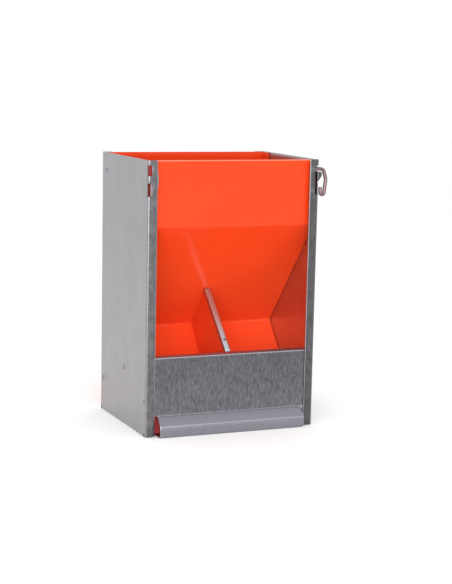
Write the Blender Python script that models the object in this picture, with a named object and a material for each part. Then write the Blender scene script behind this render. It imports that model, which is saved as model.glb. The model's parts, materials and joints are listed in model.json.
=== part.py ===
# Two-mouth gravity feeder: a box of two galvanised side panels with orange plastic inside.
# X runs across the front to the right, Y runs from the front to the back, Z is up.
# The origin is on the floor, in the middle of the front plane. All sizes are in metres.

import math

import bmesh
import bpy
import numpy as np
from mathutils import Vector

for old in list(bpy.data.objects):
    bpy.data.objects.remove(old, do_unlink=True)

# Overall sizes
body_width = 0.204
body_depth = 0.155
body_height = 0.305

# Thickness of the sheets and of the wire, and the clearance between pieces that touch
steel = 0.001
plastic = 0.002
wire_radius = 0.0021
fit = 0.0003

# Side panels
flange_width = 0.011
bottom_flange = 0.010
panel_bend = 0.002
flange_chamfer = 0.0015

# Back sheet
back_lip_depth = 0.020
back_bend = 0.003
back_top_drop = 0.0007

# Hopper front sheet: an upright part, a slope back and down, and a flap forward and down
sheet_behind_hook = 0.001
sheet_top_drop = 0.0005
fold_height = 0.2316
crook_height = 0.1038
crook_to_back = 0.0321
flap_length = 0.0559
flap_angle = math.radians(48.4)
fold_radius = 0.0028
crook_radius = 0.003

# Rounded lip that the front plate's lower edge is bent into, with a foot under the tray
lip_left_gap = 0.0039
lip_right_gap = 0.0026
lip_height = 0.0226
lip_top_bend = 0.001
lip_shelf = 0.0008
lip_reach = 0.0083
lip_crease_height = 0.0124
lip_bulge = 0.0010
lip_foot_bend = 0.0015
lip_floor_depth = 0.030

# Front plate with its turned-over top edge, its side lips and its notched lower corners
notch_above_lip = 0.0007
plate_top = 0.0915
edge_depth = 0.006
edge_rise = 0.0035
edge_front_bend = 0.0012
edge_rear_bend = 0.0016
edge_return = 0.0038
plate_lip_up = 0.0027
plate_lip_down = 0.009
plate_lip_clearance = 0.0006

# Feed tray
edge_clearance = 0.0007
tray_below_plate = 0.0055
tray_end_height = 0.070
tray_end_before_flap = 0.0045
tray_rear_height = 0.056

# Divider between the two mouths, its channel and the channel's pin
divider_thickness = 0.0036
channel_steel = 0.0016
channel_leg = 0.006
channel_bend = 0.0019
channel_above_tray = 0.004
channel_angle = math.radians(44.1)
channel_end_gap = 0.0010
pin_distance = 0.0161
pin_radius = 0.00075
pin_length = 0.006
pin_head_radius = 0.0015
pin_head_height = 0.0005

# Corner slots for the hooks. The left one keeps the strap across it. The right one's strap is
# cut free and bent out as a tongue, and a notch above it lets the hook's bow out sideways
slot_from_top = 0.0055
slot_length = 0.0335
slot_on_flange = 0.0045
slot_on_side = 0.002
bow_clearance = 0.0007
strap_from_slot_top = 0.011
strap_width = 0.0085
tongue_from_slot_top = 0.0078
tongue_root = 0.0119
tongue_tip = 0.0040
tongue_tip_drop = 0.0012
tongue_length = 0.0045

# Hanging hooks of bent wire: reaches are from the leg, heights from the slot's top or bottom
hook_from_side = 0.0049
left_hook_drop = 0.0102
hook_foot_below_slot = 0.0075
hook_top_below_slot_top = 0.0042
hook_shoulder = 0.0117
hook_shoulder_drop = 0.0017
hook_reach = 0.0151
hook_reach_drop = 0.0123
hook_toe_below_slot = 0.0005
hook_end_beside_wall = 0.0015
hook_end_rise = 0.0078
leg_bend = 1.45 * wire_radius
shoulder_bend = 2.0 * wire_radius
reach_bend = 4.0 * wire_radius
toe_bend = 1.1 * wire_radius
toe_width = 2.05 * toe_bend

# The left hook's bow passes through a notch in the hopper front sheet's edge, and swings in it
left_hook_swing = math.radians(38)
notch_clearance = 0.0012
notch_below_foot = 0.0005
notch_above_bow = 0.0008

# Rivets through the side panels, each placed from the edges of the piece that it holds
back_rivet_from_edge = 0.0051
back_rivet_from_top = 0.0205
tray_front_rivet_from_end = 0.0054
tray_front_rivet_from_top = 0.0044
tray_rear_rivet_from_wall = 0.003
tray_rear_rivet_from_top = 0.017
plate_rivet_from_lip_end = 0.0135
rivet_radius = 0.0016
rivet_head_radius = 0.0026
plate_rivet_radius = 0.0012
plate_rivet_head_radius = 0.0021
rivet_head_height = 0.0009
rivet_tail_height = 0.0008

# Shape of a rivet's or pin's head, as shares of its radius and height
crown_width = 0.45
shoulder_width = 0.8
shoulder_height = 0.75
rim_height = 0.3

# Facets
arc_steps = 6
wire_sides = 14
turned_sides = 20

# Places that follow from the sizes above
half_width = body_width / 2
inside_half = half_width - steel
insert_half = inside_half - fit
beyond = half_width + steel
back_face = body_depth - steel - fit
back_inner = back_face - plastic
back_lip_front = back_face - back_lip_depth
plate_face = steel + fit
plate_bottom = lip_height + notch_above_lip
plate_lip_bottom = plate_bottom + plate_lip_up
plate_lip_top = plate_top - plate_lip_down
between_flanges = half_width - max(flange_width, steel + bottom_flange)
lip_left = between_flanges - lip_left_gap
lip_right = between_flanges - lip_right_gap
crook_depth = back_inner - crook_to_back
flap_end_depth = crook_depth - flap_length * math.cos(flap_angle)
tray_setback = plate_face + edge_depth + edge_clearance
tray_end_length = flap_end_depth - tray_end_before_flap
tray_inner_front = tray_setback + plastic
tray_front_height = plate_top - tray_below_plate
tray_rear = back_inner - fit
tray_bottom = steel + fit
tray_floor = tray_bottom + plastic
plate_lip_end = tray_setback - plate_lip_clearance
hook_from_front = steel + fit + wire_radius
sheet_setback = hook_from_front + wire_radius + sheet_behind_hook
notch_on_side = hook_from_front + wire_radius + bow_clearance
slot_top = body_height - slot_from_top
slot_bottom = slot_top - slot_length
strap_top = slot_top - strap_from_slot_top
strap_bottom = strap_top - strap_width
tongue_top = slot_top - tongue_from_slot_top
tongue_bottom = tongue_top - tongue_root
hook_foot = slot_bottom - hook_foot_below_slot
hook_top = slot_top - hook_top_below_slot_top
hook_end = hook_from_side + hook_end_beside_wall + wire_radius
hook_toe = hook_end + toe_width
hook_toe_height = slot_bottom - hook_toe_below_slot


def make_material(name, colour, metallic, roughness):
    material = bpy.data.materials.new(name)
    material.use_nodes = True
    shader = material.node_tree.nodes["Principled BSDF"]
    shader.inputs["Base Color"].default_value = (*colour, 1.0)
    shader.inputs["Metallic"].default_value = metallic
    shader.inputs["Roughness"].default_value = roughness
    return material


def finish(name, bm, colour, metallic, roughness, smooth_angle=None):
    """Turn a bmesh into a named object with its own material."""
    bmesh.ops.recalc_face_normals(bm, faces=bm.faces)
    mesh = bpy.data.meshes.new(name)
    bm.to_mesh(mesh)
    bm.free()
    mesh.materials.append(make_material(name + "_material", colour, metallic, roughness))
    if smooth_angle is not None:
        mesh.shade_smooth()
        mesh.set_sharp_from_angle(angle=smooth_angle)
    obj = bpy.data.objects.new(name, mesh)
    bpy.context.scene.collection.objects.link(obj)
    return obj


galvanised = (0.55, 0.56, 0.58)
orange = (0.92, 0.13, 0.03)
wire_grey = (0.52, 0.46, 0.45)


# Paths in a plane

def rounded_path(corners, radii):
    """Polyline through the corners, with an arc of the given radius at each inner corner."""
    points = [Vector(corners[0])]
    for index in range(1, len(corners) - 1):
        corner = Vector(corners[index])
        radius = radii[index - 1]
        before = (Vector(corners[index - 1]) - corner).normalized()
        after = (Vector(corners[index + 1]) - corner).normalized()
        half_angle = before.angle(after) / 2
        if radius <= 0 or abs(half_angle - math.pi / 2) < 1e-4:
            points.append(corner)
            continue
        reach = radius / math.tan(half_angle)
        centre = corner + (before + after).normalized() * (radius / math.sin(half_angle))
        start = corner + before * reach - centre
        end = corner + after * reach - centre
        turn = math.atan2(start.x * end.y - start.y * end.x, start.dot(end))
        for step in range(arc_steps + 1):
            angle = turn * step / arc_steps
            spin_x = start.x * math.cos(angle) - start.y * math.sin(angle)
            spin_y = start.x * math.sin(angle) + start.y * math.cos(angle)
            points.append(centre + Vector((spin_x, spin_y)))
    points.append(Vector(corners[-1]))
    return points


def arc_path(centre, radius, start_angle, end_angle, steps):
    angles = np.linspace(start_angle, end_angle, steps + 1)
    return [Vector((centre[0] + radius * math.cos(a), centre[1] + radius * math.sin(a))) for a in angles]


def side_step(points, distance):
    """The path moved sideways by a distance, to the left of its direction."""
    moved = []
    count = len(points)
    for index in range(count):
        normals = []
        if index > 0:
            run = (points[index] - points[index - 1]).normalized()
            normals.append(Vector((-run.y, run.x)))
        if index < count - 1:
            run = (points[index + 1] - points[index]).normalized()
            normals.append(Vector((-run.y, run.x)))
        mean = sum(normals, Vector((0, 0))).normalized()
        moved.append(points[index] + mean * (distance / mean.dot(normals[0])))
    return moved


def meet(point_a, direction_a, point_b, direction_b):
    """Where two lines in a plane cross."""
    cross = direction_a.x * direction_b.y - direction_a.y * direction_b.x
    gap = point_b - point_a
    along = (gap.x * direction_b.y - gap.y * direction_b.x) / cross
    return point_a + direction_a * along


# Solids

def bent_sheet(path, thickness, low, high, place):
    """A sheet bent along a path and as wide as from low to high; place puts a point in space."""
    bm = bmesh.new()
    other = side_step(path, thickness)
    rings = []
    for near, far in zip(path, other):
        rings.append([
            bm.verts.new(place(near.x, near.y, low)),
            bm.verts.new(place(far.x, far.y, low)),
            bm.verts.new(place(far.x, far.y, high)),
            bm.verts.new(place(near.x, near.y, high)),
        ])
    for here, there in zip(rings, rings[1:]):
        for corner in range(4):
            nearby = (corner + 1) % 4
            bm.faces.new((here[corner], here[nearby], there[nearby], there[corner]))
    bm.faces.new(rings[0])
    bm.faces.new(rings[-1])
    return bm


def slab(outline, low, high, place):
    """A flat plate with the given outline, from low to high."""
    bm = bmesh.new()
    bottom = [bm.verts.new(place(p.x, p.y, low)) for p in outline]
    top = [bm.verts.new(place(p.x, p.y, high)) for p in outline]
    bm.faces.new(bottom)
    bm.faces.new(top)
    for index in range(len(outline)):
        after = (index + 1) % len(outline)
        bm.faces.new((bottom[index], bottom[after], top[after], top[index]))
    return bm


def block(low, high):
    """A box between two corners."""
    outline = [Vector((low[0], low[1])), Vector((high[0], low[1]))]
    outline += [Vector((high[0], high[1])), Vector((low[0], high[1]))]
    return slab(outline, low[2], high[2], lambda x, y, z: (x, y, z))


def turned(profile, place):
    """A solid of revolution; the profile is a list of (place along the axis, radius)."""
    bm = bmesh.new()
    rings = []
    for along, radius in profile:
        ring = []
        for side in range(turned_sides):
            angle = 2 * math.pi * side / turned_sides
            ring.append(bm.verts.new(place(along, radius * math.cos(angle), radius * math.sin(angle))))
        rings.append(ring)
    for here, there in zip(rings, rings[1:]):
        for side in range(turned_sides):
            after = (side + 1) % turned_sides
            bm.faces.new((here[side], here[after], there[after], there[side]))
    bm.faces.new(rings[0])
    bm.faces.new(rings[-1])
    return bm


def bent_wire(path, radius):
    """Round wire along a path in the XZ plane, with rounded ends."""
    bm = bmesh.new()
    rings = []
    count = len(path)
    for index, point in enumerate(path):
        before = path[max(index - 1, 0)]
        after = path[min(index + 1, count - 1)]
        run = (after - before).normalized()
        ring = []
        for side in range(wire_sides):
            angle = 2 * math.pi * side / wire_sides
            across = radius * math.cos(angle)
            depth = radius * math.sin(angle)
            ring.append(bm.verts.new((point.x - run.y * across, depth, point.y + run.x * across)))
        rings.append(ring)
    for here, there in zip(rings, rings[1:]):
        for side in range(wire_sides):
            after = (side + 1) % wire_sides
            bm.faces.new((here[side], here[after], there[after], there[side]))
    bm.faces.new(rings[0])
    bm.faces.new(rings[-1])
    return bm


def cutter(name, bm):
    """A hidden shape that cuts or joins another piece."""
    shape = finish(name, bm, galvanised, 0.0, 0.5)
    shape.hide_render = True
    shape.display_type = "WIRE"
    return shape


def combine(piece, shape, operation):
    modifier = piece.modifiers.new(shape.name, "BOOLEAN")
    modifier.operation = operation
    modifier.solver = "EXACT"
    modifier.object = shape


def in_plan(x, y, z):
    return (x, y, z)


def across(y, z, x):
    """For profiles drawn in the YZ plane and drawn out along X."""
    return (x, y, z)


# Rivet places, used by the rivets and by the holes of what they join
back_rivet = (back_lip_front + back_rivet_from_edge, body_height - back_rivet_from_top)
tray_front_rivet = (tray_end_length - tray_front_rivet_from_end, tray_end_height - tray_front_rivet_from_top)
tray_rear_rivet = (
    tray_rear - plastic - tray_rear_rivet_from_wall, tray_rear_height - tray_rear_rivet_from_top)
plate_rivet = ((plate_face + steel + plate_lip_end) / 2, plate_lip_bottom + plate_rivet_from_lip_end)


def rivet_hole(name, spot, radius, piece):
    """A hole across the whole body, so that it goes through both sides of a piece."""
    reach = half_width + bottom_flange
    profile = [(-reach, radius + fit), (reach, radius + fit)]
    bm = turned(profile, lambda along, y, z: (along, spot[0] + y, spot[1] + z))
    combine(piece, cutter(name, bm), "DIFFERENCE")


def head_profile(face, height, radius):
    """From the crown of a head down to the face that it sits on."""
    profile = [(face + height, radius * crown_width)]
    profile += [(face + height * shoulder_height, radius * shoulder_width)]
    profile += [(face + height * rim_height, radius), (face, radius)]
    return profile


def rivet(name, side, spot, radius, head_radius, joined):
    """A rivet through a side panel and a piece of the given thickness inside it."""
    face = half_width + fit
    tail = insert_half - joined - fit
    profile = head_profile(face, rivet_head_height, head_radius)
    profile += [(face, radius), (tail, radius)]
    profile += [(tail, head_radius), (tail - rivet_tail_height, head_radius)]
    bm = turned(profile, lambda along, y, z: (side * along, spot[0] + y, spot[1] + z))
    return finish(name, bm, galvanised, 0.9, 0.4, math.radians(30))


# Side panels: a sheet bent in at the front, the rear and the bottom

def side_panel(name, side):
    corners = [(side * (half_width - flange_width), body_depth), (side * half_width, body_depth)]
    corners += [(side * half_width, 0.0), (side * (half_width - flange_width), 0.0)]
    path = rounded_path(corners, [panel_bend, panel_bend])
    inward = -side * steel
    panel = finish(name, bent_sheet(path, inward, 0.0, body_height, in_plan), galvanised, 0.9, 0.4)

    middle = steel / 2
    inner = half_width - steel - bottom_flange
    low = (min(side * inner, side * (half_width - middle)), middle, 0.0)
    high = (max(side * inner, side * (half_width - middle)), body_depth - middle, steel)
    combine(panel, cutter(name + "_bottom_flange", block(low, high)), "UNION")

    tip = side * (half_width - flange_width)
    clip = [Vector((tip - side * steel, -steel)), Vector((tip + side * flange_chamfer, -steel))]
    clip += [Vector((tip + side * flange_chamfer, 0.0)), Vector((tip, flange_chamfer))]
    clip += [Vector((tip - side * steel, flange_chamfer))]
    clip_bm = slab(clip, -steel, steel + fit, lambda x, z, y: (x, y, z))
    combine(panel, cutter(name + "_corner_clip", clip_bm), "DIFFERENCE")
    return panel


def slot_cutter(name, side, on_side, bottom, top):
    """The corner slot: it opens the flange and the side wall next to the fold."""
    inner = half_width - slot_on_flange
    low = (min(side * inner, side * beyond), -steel, bottom)
    high = (max(side * inner, side * beyond), on_side, top)
    return cutter(name, block(low, high))


left_side_panel = side_panel("left_side_panel", -1)
right_side_panel = side_panel("right_side_panel", 1)

# The left slot keeps its strap, so it has two windows
lower_window = slot_cutter("left_lower_window", -1, slot_on_side, slot_bottom, strap_bottom)
upper_window = slot_cutter("left_upper_window", -1, slot_on_side, strap_top, slot_top)
combine(left_side_panel, lower_window, "DIFFERENCE")
combine(left_side_panel, upper_window, "DIFFERENCE")

# The right slot is open, with the bow's notch above the tongue on the slot's rear edge
open_slot = slot_cutter("right_slot", 1, slot_on_side, slot_bottom, slot_top)
notch_top = hook_top + wire_radius + bow_clearance
bow_notch = slot_cutter("right_bow_notch", 1, notch_on_side, tongue_top, notch_top)
combine(right_side_panel, open_slot, "DIFFERENCE")
combine(right_side_panel, bow_notch, "DIFFERENCE")
in_wall = half_width - steel / 2
tongue_end = half_width + tongue_length
tip_top = tongue_top - tongue_tip_drop
tongue = [Vector((in_wall, tongue_bottom)), Vector((half_width, tongue_bottom))]
tongue += [Vector((tongue_end, tip_top - tongue_tip)), Vector((tongue_end, tip_top))]
tongue += [Vector((half_width, tongue_top)), Vector((in_wall, tongue_top))]
tongue_bm = slab(tongue, slot_on_side, slot_on_side + steel, lambda x, z, y: (x, y, z))
combine(right_side_panel, cutter("right_tongue", tongue_bm), "UNION")

for label, panel in (("left", left_side_panel), ("right", right_side_panel)):
    rivet_hole(label + "_back_hole", back_rivet, rivet_radius, panel)
    rivet_hole(label + "_tray_front_hole", tray_front_rivet, rivet_radius, panel)
    rivet_hole(label + "_tray_rear_hole", tray_rear_rivet, rivet_radius, panel)
    rivet_hole(label + "_plate_hole", plate_rivet, plate_rivet_radius, panel)

# Back sheet: a wide U in plan, its side lips cut away beside the tray
corners = [(-insert_half, back_lip_front), (-insert_half, back_face)]
corners += [(insert_half, back_face), (insert_half, back_lip_front)]
path = rounded_path(corners, [back_bend, back_bend])
back_top = body_height - back_top_drop
back_sheet = finish(
    "back_sheet", bent_sheet(path, -plastic, tray_bottom, back_top, in_plan), orange, 0.0, 0.3)
lip_cut = block((-beyond, back_lip_front - steel, 0.0), (beyond, back_inner, tray_rear_height + plastic))
combine(back_sheet, cutter("back_lip_cut", lip_cut), "DIFFERENCE")
rivet_hole("back_sheet_hole", back_rivet, rivet_radius, back_sheet)

# Hopper front sheet: its front face is the path, the plastic lies behind it
fold = Vector((sheet_setback, fold_height))
crook = Vector((crook_depth, crook_height))
flap_end = crook - Vector((math.cos(flap_angle), math.sin(flap_angle))) * flap_length
corners = [(sheet_setback, body_height - sheet_top_drop), fold, crook, flap_end]
front_face = rounded_path(corners, [fold_radius, crook_radius])
hopper_front_sheet = finish(
    "hopper_front_sheet",
    bent_sheet(front_face, plastic, -insert_half, insert_half, across), orange, 0.0, 0.3,
    math.radians(25))
sheet_back = sheet_setback + plastic
sway_run = sheet_back - hook_from_front
bow_sway = sway_run * math.tan(left_hook_swing) + wire_radius / math.cos(left_hook_swing)
notch_width = hook_from_side + bow_sway + notch_clearance
notch = block(
    (-beyond, 0.0, hook_foot - left_hook_drop - notch_below_foot),
    (-half_width + notch_width, hook_from_front + hook_reach + wire_radius + notch_clearance,
     hook_top + wire_radius - left_hook_drop + notch_above_bow))
combine(hopper_front_sheet, cutter("hook_notch", notch), "DIFFERENCE")

# Feed tray: an open box with a high front wall and lower ends and rear
tray = block((-insert_half, tray_setback, tray_bottom), (insert_half, tray_rear, tray_front_height))
feed_tray = finish("feed_tray", tray, orange, 0.0, 0.35)
inner_half = insert_half - plastic
above = tray_front_height + steel
hollow = block((-inner_half, tray_inner_front, tray_floor), (inner_half, tray_rear - plastic, above))
end_cut = block((-beyond, tray_inner_front, tray_end_height), (beyond, body_depth, above))
rear_cut = block((-beyond, tray_end_length, tray_rear_height), (beyond, body_depth, above))
combine(feed_tray, cutter("tray_hollow", hollow), "DIFFERENCE")
combine(feed_tray, cutter("tray_end_cut", end_cut), "DIFFERENCE")
combine(feed_tray, cutter("tray_rear_cut", rear_cut), "DIFFERENCE")
rivet_hole("tray_front_hole", tray_front_rivet, rivet_radius, feed_tray)
rivet_hole("tray_rear_hole", tray_rear_rivet, rivet_radius, feed_tray)

# Front plate: its top edge slopes back and turns down, and its lower edge is bent forward into
# a rounded lip, which has a small shelf, a bulging face, an upright face and a foot
shelf_end = Vector((-lip_shelf, lip_height))
crease = Vector((-lip_reach + lip_bulge / 2, lip_crease_height))
chord = shelf_end - crease
bulge_out = Vector((-chord.y, chord.x)).normalized()
bulge_radius = (chord.length ** 2 / 4 + lip_bulge ** 2) / (2 * lip_bulge)
bulge_centre = (shelf_end + crease) / 2 - bulge_out * (bulge_radius - lip_bulge)
start = crease - bulge_centre
end = shelf_end - bulge_centre
start_angle = math.atan2(start.y, start.x)
end_angle = math.atan2(end.y, end.x)
bulge = arc_path(bulge_centre, bulge_radius, start_angle, end_angle, arc_steps)
foot = rounded_path([(lip_floor_depth, 0.0), (-lip_reach, 0.0), crease], [lip_foot_bend])
edge_back = plate_face + edge_depth
corners = [shelf_end, (plate_face, lip_height), (plate_face, plate_top - edge_rise)]
corners += [(edge_back, plate_top), (edge_back, plate_top - edge_return)]
face = rounded_path(corners, [lip_top_bend, edge_front_bend, edge_rear_bend])
path = foot[:-1] + bulge + face[1:]
front_plate = finish(
    "front_plate", bent_sheet(path, -steel, -insert_half, insert_half, across), galvanised, 0.9, 0.4,
    math.radians(25))
for label, side, lip_end in (("left", -1, lip_left), ("right", 1, lip_right)):
    edges = sorted((side * lip_end, side * beyond))
    low = (edges[0], -lip_reach - steel, -steel)
    high = (edges[1], lip_floor_depth + steel, plate_bottom)
    combine(front_plate, cutter(label + "_plate_notch", block(low, high)), "DIFFERENCE")
    edges = sorted((side * (insert_half - steel), side * insert_half))
    low = (edges[0], plate_face + steel / 2, plate_lip_bottom)
    high = (edges[1], plate_lip_end, plate_lip_top)
    combine(front_plate, cutter(label + "_plate_lip", block(low, high)), "UNION")
rivet_hole("plate_hole", plate_rivet, plate_rivet_radius, front_plate)

# Divider plate: it fills the space between its channel, the front sheet and the tray
channel_run = Vector((math.cos(channel_angle), math.sin(channel_angle)))
channel_out = Vector((-channel_run.y, channel_run.x))
channel_foot = Vector((tray_inner_front, tray_front_height + channel_above_tray))
edge_point = channel_foot - channel_out * (channel_steel + fit)
clear_face = side_step(front_face, -fit)
slope_run = (crook - fold).normalized()
slope_point = clear_face[arc_steps + 1]
edge_top = meet(edge_point, channel_run, slope_point, slope_run)
front_edge = tray_inner_front + fit
edge_low = meet(edge_point, channel_run, Vector((front_edge, 0.0)), Vector((0.0, 1.0)))
floor_edge = tray_floor + fit
outline = [edge_low, edge_top]
outline += clear_face[arc_steps + 2:]
outline += [Vector((clear_face[-1].x, floor_edge)), Vector((front_edge, floor_edge))]
half_plate = divider_thickness / 2
divider_plate = finish(
    "divider_plate", slab(outline, -half_plate, half_plate, across), orange, 0.0, 0.35)

# Channel on the divider's front edge, with a hole for its pin
channel_top = meet(channel_foot, channel_run, slope_point, slope_run)
channel_length = (channel_top - channel_foot).length - channel_end_gap
half_channel = half_plate + fit + channel_steel
corners = [(-half_channel, -channel_leg), (-half_channel, 0.0)]
corners += [(half_channel, 0.0), (half_channel, -channel_leg)]
path = rounded_path(corners, [channel_bend, channel_bend])


def on_channel(x, out, along):
    """From the channel's own width, depth and length to the body's axes."""
    point = channel_foot + channel_run * along + channel_out * out
    return (x, point.x, point.y)


divider_channel = finish(
    "divider_channel", bent_sheet(path, -channel_steel, 0.0, channel_length, on_channel),
    galvanised, 0.9, 0.4, math.radians(30))


def on_pin(along, x, step):
    return on_channel(x, along, pin_distance + step)


pin_hole = turned([(-channel_leg, pin_radius + fit), (channel_leg, pin_radius + fit)], on_pin)
pin_hole_cutter = cutter("pin_hole", pin_hole)
combine(divider_channel, pin_hole_cutter, "DIFFERENCE")
socket_end = -channel_steel - pin_length
pin_socket = turned([(socket_end, pin_radius + fit), (channel_leg, pin_radius + fit)], on_pin)
combine(divider_plate, cutter("pin_socket", pin_socket), "DIFFERENCE")
profile = head_profile(fit, pin_head_height, pin_head_radius)
profile += [(fit, pin_radius), (socket_end + fit, pin_radius)]
divider_pin = finish("divider_pin", turned(profile, on_pin), galvanised, 0.9, 0.4, math.radians(30))

# Rivets through the side panels
for label, side in (("left", -1), ("right", 1)):
    rivet(label + "_back_rivet", side, back_rivet, rivet_radius, rivet_head_radius, plastic)
    rivet(label + "_tray_front_rivet", side, tray_front_rivet, rivet_radius, rivet_head_radius, plastic)
    rivet(label + "_tray_rear_rivet", side, tray_rear_rivet, rivet_radius, rivet_head_radius, plastic)
    rivet(label + "_plate_rivet", side, plate_rivet, plate_rivet_radius, plate_rivet_head_radius, steel)

# Hooks: the straight leg is the axis they swing on, and the bow stands out to one side
corners = [(0.0, hook_foot), (0.0, hook_top), (hook_shoulder, hook_top - hook_shoulder_drop)]
corners += [(hook_reach, hook_top - hook_reach_drop), (hook_toe, hook_toe_height)]
corners += [(hook_end, hook_toe_height), (hook_end, slot_bottom + hook_end_rise)]
wire_path = rounded_path(corners, [leg_bend, shoulder_bend, reach_bend, toe_bend, toe_bend])


def hook(name, side, turn, drop):
    """A hook behind a front corner, turned about its leg and hanging lower by the drop."""
    piece = finish(name, bent_wire(wire_path, wire_radius), wire_grey, 0.8, 0.35, math.radians(40))
    piece.location = (side * (half_width - hook_from_side), hook_from_front, -drop)
    piece.rotation_euler = (0.0, 0.0, turn)
    return piece


# The left bow is folded in behind its corner, pointing back, with its top behind the strap.
# The right bow points out sideways
left_hook = hook("left_hook", -1, math.radians(90), left_hook_drop)
right_hook = hook("right_hook", 1, 0.0, 0.0)
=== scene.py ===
import json
import math

import bmesh
import bpy
import numpy as np
from mathutils import Matrix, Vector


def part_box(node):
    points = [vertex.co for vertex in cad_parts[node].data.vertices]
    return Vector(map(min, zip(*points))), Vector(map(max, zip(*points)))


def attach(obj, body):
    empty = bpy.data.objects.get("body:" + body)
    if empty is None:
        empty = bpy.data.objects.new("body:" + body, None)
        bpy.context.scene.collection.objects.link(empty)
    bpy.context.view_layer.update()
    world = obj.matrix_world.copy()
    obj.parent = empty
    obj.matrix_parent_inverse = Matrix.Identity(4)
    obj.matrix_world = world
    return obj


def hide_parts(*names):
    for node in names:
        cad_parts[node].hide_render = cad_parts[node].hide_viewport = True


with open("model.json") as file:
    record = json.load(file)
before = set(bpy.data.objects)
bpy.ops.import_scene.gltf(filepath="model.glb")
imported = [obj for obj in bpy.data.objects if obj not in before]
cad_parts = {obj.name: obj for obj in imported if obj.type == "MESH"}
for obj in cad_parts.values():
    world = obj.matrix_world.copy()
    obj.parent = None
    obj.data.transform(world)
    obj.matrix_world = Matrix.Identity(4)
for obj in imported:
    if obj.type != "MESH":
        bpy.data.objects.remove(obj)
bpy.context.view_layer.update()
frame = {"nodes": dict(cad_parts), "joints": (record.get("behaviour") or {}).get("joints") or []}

nodes = frame["nodes"]
print("frame:", len(nodes), "nodes")

# Two-mouth feeder: galvanised side panels around an orange hopper and tray.
# X runs across the front, Y from the mouths to the back, Z up, in metres.

# The body's size and the room inside the side panels, read off the frame
panelLow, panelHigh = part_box("left_side_panel")
halfWidth = -panelLow.x
bodyDepth = panelHigh.y
bodyHeight = panelHigh.z
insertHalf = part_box("hopper_front_sheet")[1].x

# Sheet thicknesses, and a length that counts as none
metalSheet = 0.001
plasticSheet = 0.002
tiny = 1e-6


# Shapes

def unit(vector):
    return vector / np.linalg.norm(vector)


def straightRun(start, end, step):
    # Points along a straight line, no further apart than the step, without the first one
    count = max(1, math.ceil(np.linalg.norm(end - start) / step - tiny))
    return start + (end - start) * np.linspace(0, 1, count + 1)[1:, None]


def roundedPath(corners, radii, arcSteps=8, step=0.004):
    # A path through the corners: where a radius is given, the corner becomes an arc whose
    # centre lies one radius away from both runs, and the runs are divided by the step
    corners = [np.array(corner, float) for corner in corners]
    path = [corners[0][None]]
    for before, corner, after, radius in zip(corners, corners[1:], corners[2:], radii):
        if radius == 0:
            path.append(straightRun(path[-1][-1], corner, step))
            continue
        toBefore, toAfter = unit(before - corner), unit(after - corner)
        halfAngle = math.acos(toBefore @ toAfter) / 2
        centre = corner + unit(toBefore + toAfter) * radius / math.sin(halfAngle)
        start = corner + toBefore * radius / math.tan(halfAngle) - centre
        end = corner + toAfter * radius / math.tan(halfAngle) - centre
        turn = math.atan2(start[0] * end[1] - start[1] * end[0], start @ end)
        angles = turn * np.linspace(0, 1, arcSteps + 1)[:, None]
        arc = centre + np.cos(angles) * start + np.sin(angles) * np.array([-start[1], start[0]])
        path.append(straightRun(path[-1][-1], arc[0], step))
        path.append(arc[1:])
    path.append(straightRun(path[-1][-1], corners[-1], step))
    return np.concatenate(path)


def stops(places, step=0.004):
    # Rising values that include every given place, no further apart than the step
    places = [np.array([place]) for place in places]
    runs = [straightRun(a, b, step)[:, None] for a, b in zip(places, places[1:])]
    return np.concatenate([places[0]] + [run.ravel() for run in runs])


def middles(values):
    return (values[1:] + values[:-1]) / 2


def smoothStep(value):
    # From nothing to one, level at both ends: three times the square less twice the cube
    value = np.clip(value, 0, 1)
    return value * value * (3 - 2 * value)


def asGrid(x, y, z):
    return np.stack(np.broadcast_arrays(x, y, z), axis=-1)


def gridFaces(rows, columns, aroundColumns=False):
    # Four corners of each cell of a grid of points, which may close on itself across the columns
    index = np.arange(rows * columns).reshape(rows, columns)
    if aroundColumns:
        index = np.concatenate([index, index[:, :1]], axis=1)
    corners = [index[:-1, :-1], index[1:, :-1], index[1:, 1:], index[:-1, 1:]]
    return np.stack(corners, axis=-1).reshape(-1, 4)


def surfaceParts(points, stays=None, **around):
    # The points and cells of one grid. stays says of each cell whether it is there
    faces = gridFaces(*points.shape[:2], **around)
    points = points.reshape(-1, 3)
    if stays is not None:
        faces = faces[stays.ravel()]
    used, faces = np.unique(faces, return_inverse=True)
    return points[used], faces.reshape(-1, 4)


def makePiece(name, parts, facing, smoothAngle=40):
    # One mesh from several grids. facing is the side that an open sheet shows to the outside,
    # or "solid" for a closed form, whose faces are turned away from its inside
    mesh = bpy.data.meshes.new(name)
    offsets = np.cumsum([0] + [len(points) for points, faces in parts])
    points = np.concatenate([points for points, faces in parts])
    faces = np.concatenate([part[1] + offset for part, offset in zip(parts, offsets)])
    mesh.from_pydata(points.tolist(), [], faces.tolist())
    work = bmesh.new()
    work.from_mesh(mesh)
    bmesh.ops.remove_doubles(work, verts=work.verts, dist=tiny)
    if facing == "solid":
        bmesh.ops.recalc_face_normals(work, faces=work.faces)
    else:
        total = sum(face.normal.dot(facing) * face.calc_area() for face in work.faces)
        if total < 0:
            bmesh.ops.reverse_faces(work, faces=work.faces)
    work.to_mesh(mesh)
    work.free()
    mesh.shade_smooth()
    mesh.set_sharp_from_angle(angle=math.radians(smoothAngle))
    piece = bpy.data.objects.new(name, mesh)
    bpy.context.scene.collection.objects.link(piece)
    return piece


def giveThickness(piece, thickness, edge, edgeAngle=40):
    # The wall grows inwards from the outer face, and its edges are broken by a small round
    wall = piece.modifiers.new("wall", "SOLIDIFY")
    wall.thickness = thickness
    wall.offset = -1
    wall.use_even_offset = True
    soft = piece.modifiers.new("broken edges", "BEVEL")
    soft.width = edge
    soft.segments = 2
    soft.limit_method = "ANGLE"
    soft.angle_limit = math.radians(edgeAngle)
    soft.harden_normals = False


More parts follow.
